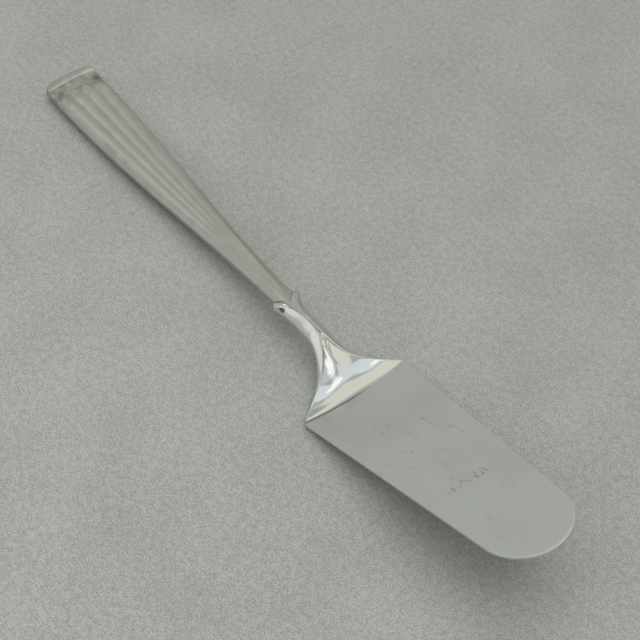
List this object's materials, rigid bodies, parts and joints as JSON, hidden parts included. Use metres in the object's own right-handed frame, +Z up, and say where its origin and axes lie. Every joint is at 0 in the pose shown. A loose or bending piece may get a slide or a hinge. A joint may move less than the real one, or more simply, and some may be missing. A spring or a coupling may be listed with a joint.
{
  "type": "small pastry and butter server",
  "caption": "Small server with a flat round-ended spade blade on a cranked, hollowed neck with side barbs and a reeded, square-butted hollow handle; spreads, lifts and serves soft food.",
  "frame": {"origin": "on the table, under the middle of the server's box", "axes": "+X from the butt of the handle to the blade tip, +Y across to the left, +Z up from the table the server lies on"},
  "size_m": [0.18, 0.0274, 0.0229],
  "materials": {
    "silver": "worn silver, soft polish with warm tarnish in the low places",
    "steel": "mirror polish on the neck, satin with fine scratches on the blade",
    "filling": "matt hardened filling"
  },
  "bodies": {
    "root": {"handle_front": "silver", "handle_back": "silver", "handle_filling": "filling", "blade_forging": "steel"}
  },
  "joints": []
}
